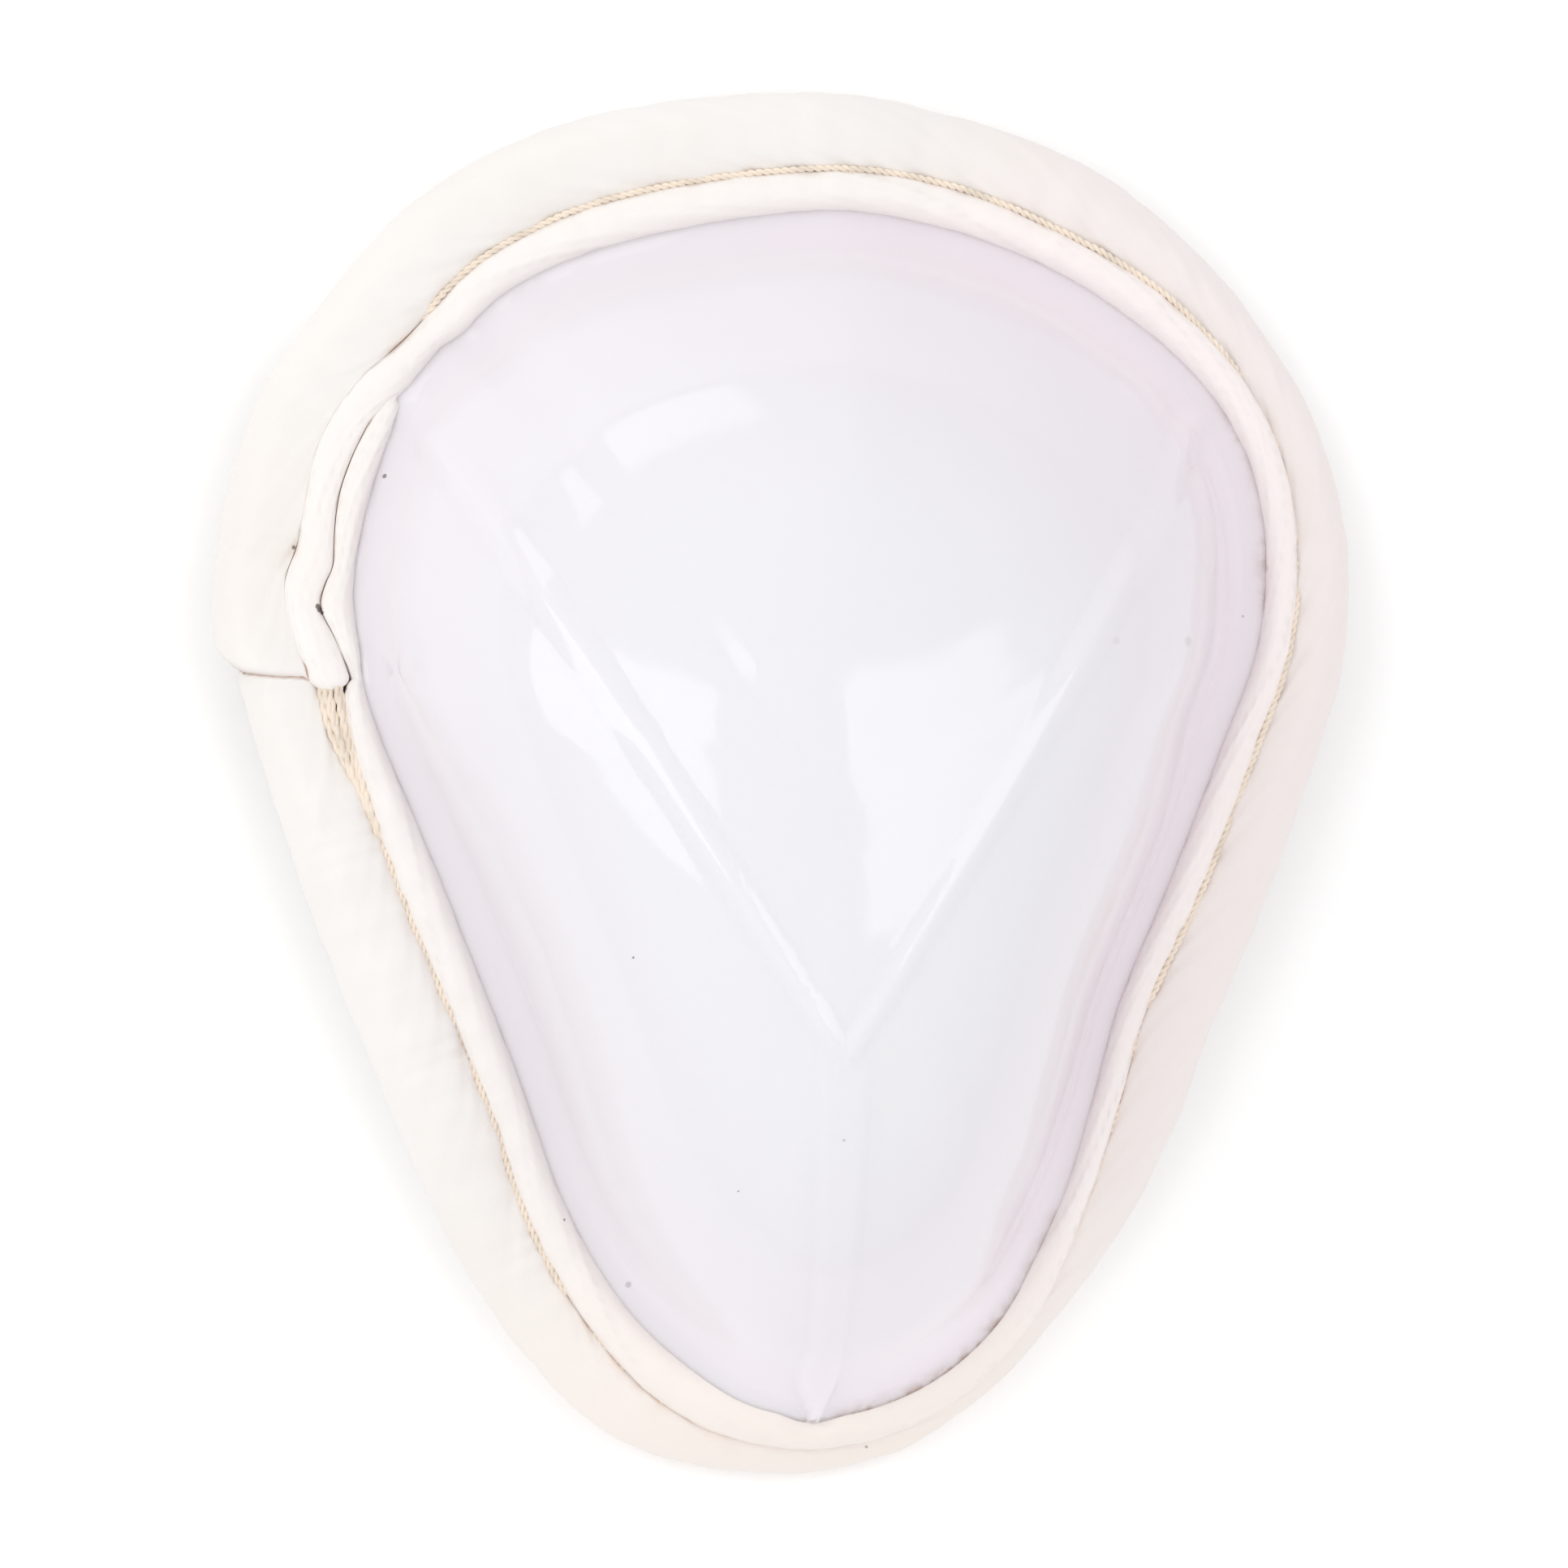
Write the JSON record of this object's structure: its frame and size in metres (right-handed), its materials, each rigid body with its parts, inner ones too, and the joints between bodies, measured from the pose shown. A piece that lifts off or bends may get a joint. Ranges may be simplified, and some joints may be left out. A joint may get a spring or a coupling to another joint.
{
  "type": "abdominal guard",
  "caption": "Moulded pear-shaped protective cup with a raised Y on its dome, edged all round by a padded leatherette roll and a slim sewn lip.",
  "frame": {"origin": "middle of the guard's outline, on the plane that its rim rests on", "axes": "+X across the guard, to the right as seen from the front; +Y up to the waist edge; +Z out to the front of the dome"},
  "size_m": [0.1398, 0.1696, 0.0564],
  "materials": {
    "plastic": "glossy milky white moulded plastic, slightly translucent",
    "roll_leatherette": "soft cream leatherette over foam, fine grain, satin",
    "lip_leatherette": "soft cream leatherette, fine grain, satin"
  },
  "bodies": {
    "root": {"shell": "plastic", "padded_roll": "roll_leatherette", "inner_lip": "lip_leatherette"}
  },
  "joints": []
}
